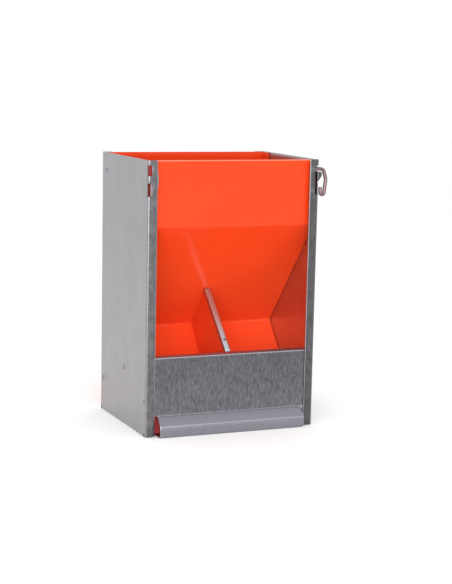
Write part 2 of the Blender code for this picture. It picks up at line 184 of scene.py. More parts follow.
def settle(piece, body, slot, material, *replaced):
    piece.data.materials.append(material)
    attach(piece, body)
    if replaced:
        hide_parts(*replaced)


def redress(node, material):
    # A CAD node that is shown as it is gets a material of this script
    nodes[node].data.materials.clear()
    nodes[node].data.materials.append(material)


# Materials

def addNode(tree, kind, inputs=None, **settings):
    node = tree.nodes.new(kind)
    for name, value in settings.items():
        setattr(node, name, value)
    for name, value in (inputs or {}).items():
        if isinstance(value, bpy.types.NodeSocket):
            tree.links.new(value, node.inputs[name])
        else:
            node.inputs[name].default_value = value
    return node


def startMaterial(name):
    material = bpy.data.materials.new(name)
    material.use_nodes = True
    tree = material.node_tree
    place = addNode(tree, "ShaderNodeTexCoord").outputs["Object"]
    return material, tree, tree.nodes["Principled BSDF"], place


def separate(tree, place):
    # How far sideways, deep and high a point is
    split = addNode(tree, "ShaderNodeSeparateXYZ", {"Vector": place})
    return [split.outputs[axis] for axis in "XYZ"]


def noiseAt(tree, place, scale, stretch=(1, 1, 1), detail=3.0, roughness=0.55):
    # Noise with so many features to the metre, drawn out along an axis where stretch is small
    scaled = addNode(tree, "ShaderNodeMapping", {"Vector": place, "Scale": [scale * s for s in stretch]})
    inputs = {"Vector": scaled.outputs[0], "Scale": 1.0, "Detail": detail, "Roughness": roughness}
    return addNode(tree, "ShaderNodeTexNoise", inputs).outputs[0]


def spread(tree, value, low, high, fromLow=0.3, fromHigh=0.7):
    # The value taken from one range to another, and held at its ends. Noise lies mostly
    # between 0.3 and 0.7
    inputs = {"Value": value, "From Min": fromLow, "From Max": fromHigh, "To Min": low, "To Max": high}
    return addNode(tree, "ShaderNodeMapRange", inputs).outputs[0]


def calculate(tree, operation, first, second=0.0):
    return addNode(tree, "ShaderNodeMath", {0: first, 1: second}, operation=operation).outputs[0]


def multiply(tree, first, *others):
    for other in others:
        first = calculate(tree, "MULTIPLY", first, other)
    return first


def awayFrom(tree, value, middle):
    return calculate(tree, "ABSOLUTE", calculate(tree, "SUBTRACT", value, middle))


def band(tree, value, middle, half):
    # One at the middle, falling evenly to nothing at half a width away
    return spread(tree, awayFrom(tree, value, middle), 1.0, 0.0, 0.0, half)


def leftRight(tree, sideways, left, right, change=0.05):
    # One value on the left half and another on the right, with the change far from both panels
    return spread(tree, sideways, left, right, -change, change)


def blendTone(tree, share, first, second):
    return addNode(tree, "ShaderNodeMix", {0: share, 2: first, 3: second}).outputs[0]


def blendColour(tree, share, first, second):
    # The first is a colour or a socket, the second a colour
    if not isinstance(first, bpy.types.NodeSocket):
        first = (*first, 1.0)
    inputs = {0: share, 6: first, 7: (*second, 1.0)}
    return addNode(tree, "ShaderNodeMix", inputs, data_type="RGBA").outputs[2]


def shade(tree, colour, factor):
    # The colour made lighter or darker by a factor
    scaled = addNode(tree, "ShaderNodeVectorMath", {0: colour, 3: factor}, operation="SCALE")
    return scaled.outputs[0]


def addBump(tree, shader, height, strength, depth):
    bump = addNode(tree, "ShaderNodeBump", {"Height": height, "Strength": strength, "Distance": depth})
    tree.links.new(bump.outputs[0], shader.inputs["Normal"])


# Zinc, as on most of the metal. Scales are features to the metre
zinc = {
    "colour": (0.322, 0.316, 0.330),
    "crystals": 260,
    "crystalDepth": 0.05,
    "streaks": 900,
    "streakStretch": 0.05,
    "streakDepth": 0.03,
    "blooms": 28,
    "bloomTone": (0.94, 1.05),
    "roughness": 0.32,
    "crystalRoughness": 0.02,
    "streakRoughness": 0.03,
    "rolling": 240,
    "rollingStretch": 0.4,
    "bumpStrength": 0.2,
    "bumpDepth": 0.00005,
}


def galvanised(name, look, toneOf=None, zones=None):
    # Zinc: crystals as cells of unlike brightness, upright rolling streaks, and dull blooms
    look = {**zinc, **look}
    material, tree, shader, place = startMaterial(name)
    cells = addNode(tree, "ShaderNodeTexVoronoi", {"Vector": place, "Scale": look["crystals"]})
    shine = cells.outputs["Color"]
    crystal = spread(tree, shine, 1 - look["crystalDepth"], 1 + look["crystalDepth"], 0.0, 1.0)
    streak = noiseAt(tree, place, look["streaks"], (1, 1, look["streakStretch"]), detail=4.0)
    streaked = spread(tree, streak, 1 - look["streakDepth"], 1 + look["streakDepth"])
    bloom = spread(tree, noiseAt(tree, place, look["blooms"], detail=4.0), *look["bloomTone"])
    tone = multiply(tree, crystal, streaked, bloom)
    if toneOf is not None:
        tone = toneOf(tree, place, zones, tone)
    tree.links.new(shade(tree, look["colour"], tone), shader.inputs["Base Color"])
    shader.inputs["Metallic"].default_value = 1.0
    rough, byCrystal, byStreak = (look[key] for key in ("roughness", "crystalRoughness", "streakRoughness"))
    grainy = spread(tree, shine, rough - byCrystal, rough + byCrystal, 0.0, 1.0)
    uneven = calculate(tree, "ADD", spread(tree, streak, -byStreak, byStreak, 0.0, 1.0), grainy)
    tree.links.new(uneven, shader.inputs["Roughness"])
    rolled = noiseAt(tree, place, look["rolling"], (1, 1, look["rollingStretch"]), detail=1.0)
    addBump(tree, shader, rolled, look["bumpStrength"], look["bumpDepth"])
    return material


# Side panels: one bent sheet each, with the corner slots cut through its front fold
panelShape = {
    "flange": 0.011,
    "bottomFlange": 0.010,
    "bend": 0.002,
    "cornerClip": 0.0015,
    "slot": (0.266, 0.2995),
    "slotOnFlange": 0.0045,
    "slotOnSide": 0.002,
    "strap": (0.280, 0.2885),
    "strapBulge": 0.0014,
    "strapForward": 0.4,    # the bulge to the front, as a share of the bulge sideways
    "strapFade": 0.008,
    "bowNotchOnSide": 0.0062,
    "bowNotchTop": 0.2981,
    "relief": 0.0035,
    "reliefStart": 0.9,    # as a share of the bend
    "reliefLength": 0.004,
    "cutEdge": 0.00025,
}
tongueShape = {
    "height": (0.2798, 0.2917),
    "tip": 0.004,
    "tipDrop": 0.0012,
    "reach": 0.0045,
    "root": 0.0035,
    "rootRun": 0.0001,
    "bend": 0.0004,
    "relief": 0.0006,
}
panelZones = {
    "flangeDepth": (0.00072, 0.0012),
    # Near the flange's tip and toward the fold the wall's tone shows through: painted highlights on the cut
    # edge and the fold
    "fromTip": (0.0005, 0.0010),
    "fromCorner": (0.0026, 0.0013),
    "pastSide": (0.0001, 0.0003),
    "inSheet": (0.8, 0.5),    # where the inner face begins, as shares of the sheet's thickness
    # Flange tones, left and right panel: painted shade for the dark front that the flanges reflect
    "left": 0.43,
    "right": 0.31,
    # How much flange tone is left at the fold, where the rest is a painted highlight
    "fold": 0.43,
    "edge": 0.85,
    # The inner face: lighter deeper in as a painted reflection of the orange, with painted shade behind the
    # flange, between the given depths
    "inside": 1.85,
    "behindFlange": 0.35,
    "behind": (0.0065, 0.0085),
    "top": (0.290, 0.300),
    "topTone": 0.62,
    # Painted shade on the cut edges at the slots
    "slotEdge": 0.3,
    "slotMargin": 0.0003,
    "slotRearMargin": 0.0004,
    "mottle": 170,
    "mottleStretch": 0.6,
    "mottleTone": (0.72, 1.3),
    # Painted highlights on the right flange beside the ends of the slot
    "dimples": (0.2940, 0.2704),
    "dimpleHalf": 0.004,
    "dimpleTone": 0.24,
}

flangeTip = halfWidth - panelShape["flange"]
inSlot = halfWidth - panelShape["slotOnFlange"]
slotLow, slotHigh = panelShape["slot"]


def flangeTone(tree, place, zones):
    # Darker than the wall, more so on the right panel: painted shade for the dark front that the flange
    # reflects. Mottled, with two painted highlights beside the ends of the right slot
    sideways, height = separate(tree, place)[::2]
    noise = noiseAt(tree, place, zones["mottle"], (1, 1, zones["mottleStretch"]), detail=4.0)
    mottle = spread(tree, noise, *zones["mottleTone"])
    tone = leftRight(tree, sideways, zones["left"], zones["right"])
    # Painted highlights beside the ends of the right slot
    dimpleTone = leftRight(tree, sideways, 0.0, zones["dimpleTone"])
    for middle in zones["dimples"]:
        paintedHighlight = multiply(tree, band(tree, height, middle, zones["dimpleHalf"]), dimpleTone)
        tone = calculate(tree, "ADD", tone, paintedHighlight)
    return multiply(tree, mottle, tone)


def atSlots(tree, place, zones):
    # One on the cut edges at the corner slots and on the tongue's bend, where the painted shade goes,
    # nothing elsewhere
    sideways, depth, height = separate(tree, place)
    away = awayFrom(tree, height, sum(panelShape["slot"]) / 2)
    besideSlot = calculate(tree, "LESS_THAN", away, (slotHigh - slotLow) / 2 + zones["slotMargin"])
    rearEnd = leftRight(tree, sideways, panelShape["slotOnSide"] + zones["slotRearMargin"],
                        tongueShape["root"] + zones["slotMargin"])
    before = calculate(tree, "LESS_THAN", depth, rearEnd)
    pastBend = calculate(tree, "GREATER_THAN", depth, panelShape["slotOnSide"] - zones["slotMargin"])
    return multiply(tree, besideSlot, before, pastBend)


def panelTone(tree, place, zones, tone):
    # The flanges and the tongue have their own darker tone, painted shade for the dark front they reflect,
    # with painted highlights on the cut edges and on the fold. The inner face is painted lighter, as a
    # reflection of the orange, with painted shade behind the flange, and it is darker at the top. The cut
    # edges at the slots get painted shade
    sideways, depth, height = separate(tree, place)
    across = calculate(tree, "ABSOLUTE", sideways)
    inFront = spread(tree, depth, 1.0, 0.0, *zones["flangeDepth"])
    pastTip = spread(tree, across, 0.0, 1.0, *(flangeTip + past for past in zones["fromTip"]))
    toFold = (halfWidth - before for before in zones["fromCorner"])
    beforeFold = spread(tree, across, 1.0, zones["fold"], *toFold)
    onFlange = multiply(tree, inFront, pastTip, beforeFold)
    onTongue = spread(tree, across, 0.0, 1.0, *(halfWidth + past for past in zones["pastSide"]))
    share = calculate(tree, "MAXIMUM", onFlange, onTongue)
    within = spread(tree, across, 1.0, 0.0, *(halfWidth - metalSheet * part for part in zones["inSheet"]))
    # Painted reflection of the orange on the inner face, and painted shade behind the flange
    inner = spread(tree, depth, zones["behindFlange"], zones["inside"], *zones["behind"])
    inner = multiply(tree, inner, spread(tree, height, 1.0, zones["topTone"], *zones["top"]))
    inner = blendTone(tree, inFront, inner, zones["edge"])
    result = blendTone(tree, share, blendTone(tree, within, 1.0, inner), flangeTone(tree, place, zones))
    # Painted shade on the cut edges at the slots
    result = blendTone(tree, atSlots(tree, place, zones), result, zones["slotEdge"])
    return multiply(tree, tone, result)


def panelPlan(shape):
    # Across: the sheet seen from above, with its rear flange, its wall and its front flange
    corners = [(flangeTip, bodyDepth), (halfWidth, bodyDepth), (halfWidth, shape["bowNotchOnSide"])]
    corners += [(halfWidth, tongueShape["root"]), (halfWidth, 0), (inSlot, 0), (flangeTip, 0)]
    return roundedPath(corners, [shape["bend"], 0, 0, shape["bend"], 0])


def lowerBendEnd(shape):
    # Height is measured along the sheet, so the lower bend ends a quarter circle below its start
    return shape["bend"] * (1 - math.pi / 2)


def panelHeights(shape, windows, bendSteps=8):
    # Up: height, which runs on below zero round the lower bend and along the bottom flange
    bend, bendEnd = shape["bend"], lowerBendEnd(shape)
    places = {bendEnd - (shape["bottomFlange"] - bend), bendEnd, bend, shape["relief"], bodyHeight}
    for window in windows:
        places |= set(window[:2])
    turned = np.linspace(bendEnd, bend, bendSteps + 1)[1:-1]
    return np.unique(np.concatenate([stops(sorted(places)), turned]))


def panelSurface(shape, plan, heights):
    # The wall's foot goes round a quarter circle and straight inwards, the flanges' feet stay
    # at the floor, and the front flange's lower corner is clipped
    bend, planX, planY = shape["bend"], plan[:, :1], plan[:, 1:]
    onWall = (planY > bend + tiny) & (planY < bodyDepth - bend - tiny)
    angle = np.clip((bend - heights) / bend, 0, math.pi / 2)
    run = np.clip(lowerBendEnd(shape) - heights, 0, None)
    x = planX - np.where(onWall, bend * (1 - np.cos(angle)) + run, 0)
    z = np.where(heights < bend, bend * (1 - np.sin(angle)), heights)
    z = np.where(onWall, z, np.clip(heights, 0, None))
    clip = np.clip(shape["cornerClip"] - (planX - flangeTip), 0, None) * (planY < bend)
    return x, planY, clip + z * (bodyHeight - clip) / bodyHeight


def pushStrap(shape, plan, x, y, z):
    # The strap is pushed out of the fold, and widens the flange beside it. The push is a bell
    # curve over the height, and eases off across the flange
    planX, planY = plan[:, :1], plan[:, 1:]
    fromMiddle = (z - sum(shape["strap"]) / 2) / shape["strapFade"]
    push = np.exp(-fromMiddle ** 2) * (planY < shape["bend"]) * shape["strapBulge"]
    x = x - push * smoothStep((halfWidth - planX) / shape["flange"])
    y = y - push * shape["strapForward"] * smoothStep((planX - flangeTip) / shape["flange"])
    return x, y, z


def tongueColumns(tongue, plan):
    # The points of the plan where the tongue has its root, and where the slot ends
    spots = ((halfWidth, tongue["root"]), (inSlot, 0))
    return [int(np.abs(plan - spot).sum(axis=1).argmin()) for spot in spots]


def bendTongue(tongue, plan, heights, x, y, z):
    # The cut strap is bent out: its cells run along the tongue's own path instead, and its
    # lower edge rises to the narrow tip
    low, high = tongue["height"]
    first, last = tongueColumns(tongue, plan)
    front = tongue["root"] - tongue["bend"] - tongue["rootRun"]
    corners = [(halfWidth, tongue["root"]), (halfWidth, front), (halfWidth + tongue["reach"], front)]
    path = roundedPath(corners, [tongue["bend"]], step=0.0005)
    column = np.arange(len(plan))
    place = np.clip((column - first) / (last - 1 - first), 0, 1) * (len(path) - 1)
    pathX, pathY = (np.interp(place, np.arange(len(path)), path[:, axis])[:, None] for axis in (0, 1))
    inStrap = (heights > low - tiny) & (heights < high + tiny)
    onTongue = inStrap & ((column > first) & (column < last))[:, None]
    along = np.clip((pathX - halfWidth) / tongue["reach"], 0, 1)
    narrow = along * (1 - tongue["tip"] / (high - low))
    z = np.where(onTongue, high - (high - z) * (1 - narrow) - along * tongue["tipDrop"], z)
    return np.where(onTongue, pathX, x), np.where(onTongue, pathY, y), z


def panelCells(shape, plan, heights, windows, tongue):
    # Which cells are there: none below the flanges, in the reliefs beside the bottom flange and
    # in the windows, but for the tongue, which ends at its last column
    bend, (cellX, cellY), cellZ = shape["bend"], middles(plan).T[:, :, None], middles(heights)
    onFlange = (cellY < bend) | (cellY > bodyDepth - bend)
    fromEnd = np.minimum(cellY, bodyDepth - cellY)
    relief = (fromEnd > bend * shape["reliefStart"]) & (fromEnd < bend + shape["reliefLength"])
    relief = relief & (cellZ < shape["relief"])
    gone = (cellZ < 0) & onFlange | relief & ~onFlange
    for low, high, onSide in windows:
        gone |= (cellZ > low) & (cellZ < high) & (cellY < onSide) & (cellX > inSlot)
    if tongue is not None:
        low, high = tongue["height"]
        onTongue = (cellZ > low) & (cellZ < high) & (cellX > inSlot) & (cellY < tongue["root"])
        atEnd = np.arange(len(cellX)) == tongueColumns(tongue, plan)[1] - 1
        gone = np.where(onTongue, atEnd[:, None], gone)
    return ~gone


def sidePanel(name, side, shape, windows, tongue=None):
    plan, heights = panelPlan(shape), panelHeights(shape, windows)
    surface = panelSurface(shape, plan, heights)
    if tongue is None:
        x, y, z = pushStrap(shape, plan, *surface)
    else:
        x, y, z = bendTongue(tongue, plan, heights, *surface)
    cells = panelCells(shape, plan, heights, windows, tongue)
    piece = makePiece(name, [surfaceParts(asGrid(side * x, y, z), cells)], (side, 0, 0))
    giveThickness(piece, metalSheet, shape["cutEdge"])
    return piece


panelSteel = galvanised("panelSteel", {}, panelTone, panelZones)

# The left slot keeps its strap between two windows. At the right the strap is the tongue, and
# the slot is wider above it, for the hook's bow. A window is its low end, its high end and
# how far it goes round onto the wall
onSide, bowTop = panelShape["slotOnSide"], panelShape["bowNotchTop"]
tongueLow, tongueHigh = tongueShape["height"]
leftWindows = [(slotLow, panelShape["strap"][0], onSide), (panelShape["strap"][1], slotHigh, onSide)]
rightWindows = [(slotLow, bowTop, onSide), (tongueHigh, bowTop, panelShape["bowNotchOnSide"])]
rightWindows += [(tongueLow - tongueShape["relief"], tongueLow, tongueShape["root"])]
leftPanel = sidePanel("leftSidePanel", -1, panelShape, leftWindows)
settle(leftPanel, "body", "side_steel", panelSteel, "left_side_panel")
rightPanel = sidePanel("rightSidePanel", 1, panelShape, rightWindows, tongueShape)
settle(rightPanel, "body", "side_steel", panelSteel, "right_side_panel")
print("side panels: done")


# Front plate: turned-over top edge, flat face, and the rounded lip with its foot
plateShape = {
    "face": 0.0013,
    "top": 0.0915,
    "edgeDepth": 0.006,
    "edgeRise": 0.0035,
    "edgeReturn": 0.0038,
    "edgeBends": (0.0012, 0.0016),
    "bendSteps": 6,
    "lipHeight": 0.0226,
    "lipTopBend": 0.0005,
    "lipTopDepth": 0.0007,
    "reach": 0.0083,
    "creaseHeight": 0.0124,
    "bulge": 0.0005,
    "footBend": 0.0015,
    "footDepth": 0.030,
    "lipEnds": (-0.0871, 0.0884),
    "endRound": 0.006,
    "endSink": 0.0016,
    "endFade": 0.0008,
    "endColumns": 8,
    "beforeFace": 0.0002,
    "behindLip": 0.0056,
    "slit": 0.00002,
    "buckle": 0.00018,
    "buckled": (0.026, 0.084),
    "buckleFade": 0.01,
    "slowWaves": (61, 1.0, 47),
    "quickWaves": (0.6, 133, 40),
    "sideLip": (0.026, 0.0825),
    "sideLipEnd": 0.0067,
    "sideLipLap": 0.004,
    "sideLipBehind": 0.0002,
    "sideLipBend": 0.0015,
    "sideLipSheet": 0.8,    # as a share of the plate's own thickness
    "cutEdge": 0.00022,
}
frontLook = {
    # Darker than the side panels' zinc: painted shade for the dark front that the plate reflects
    "colour": (0.134, 0.135, 0.151),
    "streaks": 1150,
    "streakStretch": 0.17,
    "streakDepth": 0.42,
}
frontZones = {
    "low": 0.030,
    "high": 0.087,
    "lowTone": 1.12,
    "highTone": 0.84,
    "lip": 0.0224,
    "lipFade": 0.0004,
    # The lip is painted lighter, as the light it catches from above
    "lipTone": 1.9,
    "lipSpread": 0.07,
    "toneRange": (0.6, 1.4),
    "edge": 0.0886,
    "edgeFade": 0.0006,
    # The sloped top edge: painted light
    "edgeTone": 2.6,
    # Painted highlight lines along the bends: height, half width and gain
    "lines": ((0.0880, 0.0011, 2.5), (0.0228, 0.0010, 1.4), (0.0125, 0.0007, 1.1)),
}


def frontTone(tree, place, zones, tone):
    # The plate grows lighter from its top edge down. Its sloped top and its pressed lip are painted
    # lighter, as the light they catch from above, and the lip is evener. Painted highlights run in a line
    # along each bend
    height = separate(tree, place)[2]
    lip, lipFade, lipTone = zones["lip"], zones["lipFade"], zones["lipTone"]
    onLip = spread(tree, height, 1.0, 0.0, lip - lipFade, lip + lipFade)
    face = spread(tree, height, zones["lowTone"], zones["highTone"], zones["low"], zones["high"])
    onFace = multiply(tree, face, tone)
    evened = zones["lipSpread"] * lipTone
    even = spread(tree, tone, lipTone - evened, lipTone + evened, *zones["toneRange"])
    result = blendTone(tree, onLip, onFace, even)
    onEdge = spread(tree, height, 0.0, 1.0, zones["edge"], zones["edge"] + zones["edgeFade"])
    result = blendTone(tree, onEdge, result, zones["edgeTone"])
    # Painted highlights along the bends
    for middle, half, gain in zones["lines"]:
        brighter = multiply(tree, band(tree, height, middle, half), gain)
        result = calculate(tree, "ADD", result, brighter)
    return result


def plateProfile(shape, lipPoints=15):
    # Up, as depth and height: from the foot's rear edge to the crease, up the lip, which bulges
    # as a parabola over its chord, and up the face and over the top. Also gives the number of
    # rows as far as the lip's top
    lipTop = np.array([shape["lipTopDepth"], shape["lipHeight"]])
    crease = np.array([-shape["reach"] + shape["bulge"] / 2, shape["creaseHeight"]])
    share = np.linspace(0, 1, lipPoints)[:, None]
    out = unit(np.array([crease[1] - lipTop[1], lipTop[0] - crease[0]]))
    lip = crease + (lipTop - crease) * share + out * shape["bulge"] * 4 * share * (1 - share)
    foot = roundedPath([(shape["footDepth"], 0), (-shape["reach"], 0), crease], [shape["footBend"]])
    face, edgeRear = shape["face"], shape["face"] + shape["edgeDepth"]
    corners = [lipTop, (face, shape["lipHeight"]), (face, shape["top"] - shape["edgeRise"])]
    corners += [(edgeRear, shape["top"]), (edgeRear, shape["top"] - shape["edgeReturn"])]
    neck = roundedPath(corners, [shape["lipTopBend"], *shape["edgeBends"]], shape["bendSteps"])
    return np.concatenate([foot[:-1], lip, neck[1:]]), len(foot) - 1 + len(lip)


def roundLipEnd(shape, x, y, z):
    # The pressed lip is rounded off at its right end: near it the lip's top sinks and its foot
    # rises, by the square of how near it is
    high = shape["lipEnds"][1]
    near = np.clip(1 - (high - x) / shape["endRound"], 0, 1) ** 2 * (x <= high + tiny)
    onLip = smoothStep((shape["lipHeight"] + shape["endFade"] / 2 - z) / shape["endFade"])
    sink = shape["endSink"] - 2 * shape["endSink"] * smoothStep(z / shape["lipHeight"])
    return z + near * onLip * np.where(y < shape["face"] - shape["beforeFace"], sink, 0)


def buckle(shape, x, z):
    # A thin sheet is never quite flat: slow waves and some quicker ones, fading at the edges
    low, high = shape["buckled"]
    fade = smoothStep((z - low) / shape["buckleFade"]) * smoothStep((high - z) / shape["buckleFade"])
    across, start, up = shape["slowWaves"]
    waves = np.sin(across * x + start) * np.cos(up * z)
    share, across, up = shape["quickWaves"]
    return shape["buckle"] * fade * (waves + share * np.sin(across * x - up * z))


def frontPlate(shape, firstColumn=0.002):
    # Up: the profile. Across: the plate's width, with the corners beside the lip cut away
    profile, lipRows = plateProfile(shape)
    neckRows = shape["bendSteps"] + 1
    low, high = shape["lipEnds"]
    beside, roundFrom = high + shape["slit"], high - shape["endRound"]
    width = stops([-insertHalf, low, low + firstColumn, roundFrom, high, beside, insertHalf])
    rounding = high - shape["endRound"] * np.linspace(0, 1, shape["endColumns"] + 1) ** 2
    width = np.unique(np.concatenate([width, rounding]))
    x, y = np.meshgrid(width, profile[:, 0])
    z = np.meshgrid(width, profile[:, 1])[1]
    z = roundLipEnd(shape, x, y, z)
    # Right of the lip, the rows of the lip's top bend run straight on down the face instead
    stretch = np.arange(neckRows)[::-1, None] / neckRows * shape["behindLip"]
    rightOfLip = width > high + tiny
    rows = slice(lipRows, lipRows + neckRows)
    y[rows] = np.where(rightOfLip, shape["face"], y[rows])
    z[rows] = np.where(rightOfLip, shape["lipHeight"] + shape["lipTopBend"] - stretch, z[rows])
    y = y + buckle(shape, x, z)
    cellRow, cellX = np.arange(len(profile) - 1)[:, None], middles(width)
    inSlit = (cellX > high) & (cellX < beside)
    gone = ((cellX < low) | inSlit) & (cellRow < lipRows + neckRows - 1)
    gone |= (cellX > beside) & (cellRow < lipRows)
    parts = [surfaceParts(asGrid(x, y, z), ~gone)]
    piece = makePiece("frontPlate", parts, (0, -1, 0), smoothAngle=50)
    giveThickness(piece, metalSheet, shape["cutEdge"], edgeAngle=50)
    return piece


def plateSideLips(shape):
    # The plate's narrow side lips, each turned back along its side panel
    behind = shape["face"] + shape["sideLipBehind"]
    corners = [(insertHalf - shape["sideLipLap"], behind), (insertHalf, behind)]
    corners += [(insertHalf, shape["sideLipEnd"])]
    plan = roundedPath(corners, [shape["sideLipBend"]], arcSteps=6, step=0.002)
    heights = stops(shape["sideLip"])
    right = asGrid(plan[:, :1], plan[:, 1:], heights)
    left = asGrid(-plan[:, :1], plan[:, 1:], heights)[:, ::-1]
    piece = makePiece("plateSideLips", [surfaceParts(left), surfaceParts(right)], (0, -1, 0))
    giveThickness(piece, metalSheet * shape["sideLipSheet"], shape["cutEdge"], edgeAngle=50)
    return piece


frontSteel = galvanised("frontSteel", frontLook, frontTone, frontZones)
settle(frontPlate(plateShape), "body", "front_steel", frontSteel, "front_plate")
settle(plateSideLips(plateShape), "body", "front_steel", frontSteel)
print("front plate: done")


# Orange plastic of the hopper and the tray
orangeLook = {
    "colour": (0.69, 0.0455, 0.0085),
    # Paler low down: painted light for the shade low in the hopper and tray
    "lowColour": (0.87, 0.074, 0.018),
    "paling": (0.115, 0.230),
    "rim": (0.95, 0.17, 0.10),
    "rimWidth": 0.0014,
    "rimFade": 0.6,    # as a share of the rim's width
    "frontDepth": (0.010, 0.011),
    # Painted shade behind the flanges and at the tray's left front corner
    "grime": (0.42, 0.052, 0.052),
    "pastFlange": (0.003, 0.0015),
    "footCorner": (-0.079, 0.024),
    "clouds": 18,
    "cloudTone": (0.97, 1.02),
    "gloss": 30,
    "roughness": (0.12, 0.17),
    "rubs": 60,
    "rubStretch": 0.5,
    "rubRoughness": 0.06,
    "rubFrom": (0.55, 0.8),
    "specular": 0.16,
    "waves": 55,
    "bumpStrength": 0.3,
    "bumpDepth": 0.0003,
}


def orangeColour(tree, place, look):
    # A little paler low down, painted light that makes up for the shade low in the hopper, and paler still
    # on the front sheet's sawn top rim. Painted shade darkens the plastic behind the flanges and at the
    # tray's left front corner
    sideways, depth, height = separate(tree, place)
    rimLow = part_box("hopper_front_sheet")[1].z - look["rimWidth"]
    onTop = spread(tree, height, 0.0, 1.0, rimLow, rimLow + look["rimWidth"] * look["rimFade"])
    inFront = spread(tree, depth, 1.0, 0.0, *look["frontDepth"])
    # Painted light: paler low down
    upwards = spread(tree, height, 0.0, 1.0, *look["paling"])
    colour = blendColour(tree, upwards, look["lowColour"], look["colour"])
    colour = blendColour(tree, multiply(tree, onTop, inFront), colour, look["rim"])
    past, fade = look["pastFlange"]
    across = calculate(tree, "ABSOLUTE", sideways)
    # Painted shade: behind the flanges, and at the tray's left front corner
    behindFlange = spread(tree, across, 0.0, 1.0, flangeTip + past, flangeTip + past + fade)
    cornerX, cornerZ = look["footCorner"]
    atFoot = multiply(tree, calculate(tree, "LESS_THAN", height, cornerZ),
                      calculate(tree, "LESS_THAN", sideways, cornerX))
    paintedShadeShare = multiply(tree, inFront, calculate(tree, "MAXIMUM", behindFlange, atFoot))
    return blendColour(tree, paintedShadeShare, colour, look["grime"])


def orangePlastic(name, look):
    # Moulded plastic: glossy, with slow waves, faint flow clouds and a few rubbed places
    material, tree, shader, place = startMaterial(name)
    cloud = spread(tree, noiseAt(tree, place, look["clouds"]), *look["cloudTone"])
    colour = shade(tree, orangeColour(tree, place, look), cloud)
    tree.links.new(colour, shader.inputs["Base Color"])
    rubbed = noiseAt(tree, place, look["rubs"], (1, look["rubStretch"], look["rubStretch"]))
    rub = spread(tree, rubbed, 0.0, look["rubRoughness"], *look["rubFrom"])
    gloss = spread(tree, noiseAt(tree, place, look["gloss"]), *look["roughness"])
    tree.links.new(calculate(tree, "ADD", gloss, rub), shader.inputs["Roughness"])
    shader.inputs["Specular IOR Level"].default_value = look["specular"]
    waves = noiseAt(tree, place, look["waves"], detail=1.0)
    addBump(tree, shader, waves, look["bumpStrength"], look["bumpDepth"])
    return material


orange = orangePlastic("orangePlastic", orangeLook)

# The hopper's front sheet
hopperShape = {
    "setback": 0.0065,
    "top": 0.3045,
    "fold": 0.2316,
    "crook": (0.1196, 0.1038),
    "flapLength": 0.0559,
    "flapAngle": 48.4,
    "foldRadius": 0.0028,
    "crookRadius": 0.003,
    "notch": (0.2478, 0.2880),
    "notchWidth": 0.01275,
    "ripple": 0.00012,
    "waves": ((70, 30), (41, -90)),
    "edge": 0.0003,
}


def hopperFront(shape):
    # Down: the sheet's profile, upright, then sloping back, then the flap. Across: its width.
    # The ripple is the sum of sine waves across and up
    angle = math.radians(shape["flapAngle"])
    crook = np.array(shape["crook"])
    flapEnd = crook - np.array([math.cos(angle), math.sin(angle)]) * shape["flapLength"]
    notchLow, notchHigh = shape["notch"]
    corners = [(shape["setback"], height) for height in (shape["top"], notchHigh, notchLow, shape["fold"])]
    corners += [crook, flapEnd]
    profile = roundedPath(corners, [0, 0, shape["foldRadius"], shape["crookRadius"]], arcSteps=12)
    notchEdge = -halfWidth + shape["notchWidth"]
    width = stops([-insertHalf, notchEdge, insertHalf], step=0.005)
    depth, height = profile[:, :1], profile[:, 1:]
    ripple = shape["ripple"] * sum(np.sin(across * width + up * height) for across, up in shape["waves"])
    cellX, cellZ = middles(width), middles(height)
    notched = (cellX < notchEdge) & (cellZ > notchLow) & (cellZ < notchHigh)
    grid = asGrid(width, depth + ripple, height)
    piece = makePiece("hopperFront", [surfaceParts(grid, ~notched)], (0, -1, 0), smoothAngle=60)
    giveThickness(piece, plasticSheet, shape["edge"], edgeAngle=60)
    return piece


settle(hopperFront(hopperShape), "body", "orange_plastic", orange, "hopper_front_sheet")

# The back sheet
backShape = {
    "lipDepth": 0.020,
    "bend": 0.003,
    "lipBottom": 0.058,
    "ripple": 0.0001,
    "waves": (60, 35),
    "flatEnds": 0.008,
    "edge": 0.0005,
}


def backSheet(shape):
    # Round: the sheet's U in plan. Up: height, with the side lips cut away beside the tray
    low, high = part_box("back_sheet")
    rear, front = high.y, high.y - shape["lipDepth"]
    corners = [(-insertHalf, front), (-insertHalf, rear), (insertHalf, rear), (insertHalf, front)]
    plan = roundedPath(corners, [shape["bend"]] * 2, arcSteps=10, step=0.006)
    heights = stops([low.z, shape["lipBottom"], high.z], step=0.006)
    x, (across, up) = plan[:, :1], shape["waves"]
    rippled = np.abs(x) < insertHalf - shape["flatEnds"]
    ripple = shape["ripple"] * np.sin(across * x) * np.sin(up * heights) * rippled
    y = np.minimum(plan[:, 1:], rear) - np.abs(ripple)
    cutAway = (middles(heights) < shape["lipBottom"]) & (middles(plan[:, 1:]) < rear - plasticSheet)
    parts = [surfaceParts(asGrid(x, y, heights), ~cutAway)]
    piece = makePiece("backSheet", parts, (0, 1, 0), smoothAngle=60)
    giveThickness(piece, plasticSheet, shape["edge"], edgeAngle=60)
    return piece


settle(backSheet(backShape), "body", "orange_plastic", orange, "back_sheet")

# The tray
trayShape = {
    "endHeight": 0.070,
    "rearHeight": 0.056,
    "corner": 0.006,
    "frontRun": 0.002,
    "fillet": 0.0015,
    "stepBeforeFlap": 0.0045,
    "stepLength": 0.0025,
    "rings": (9, 6, 11),    # floor, fillet and wall
    "edge": 0.0004,
}


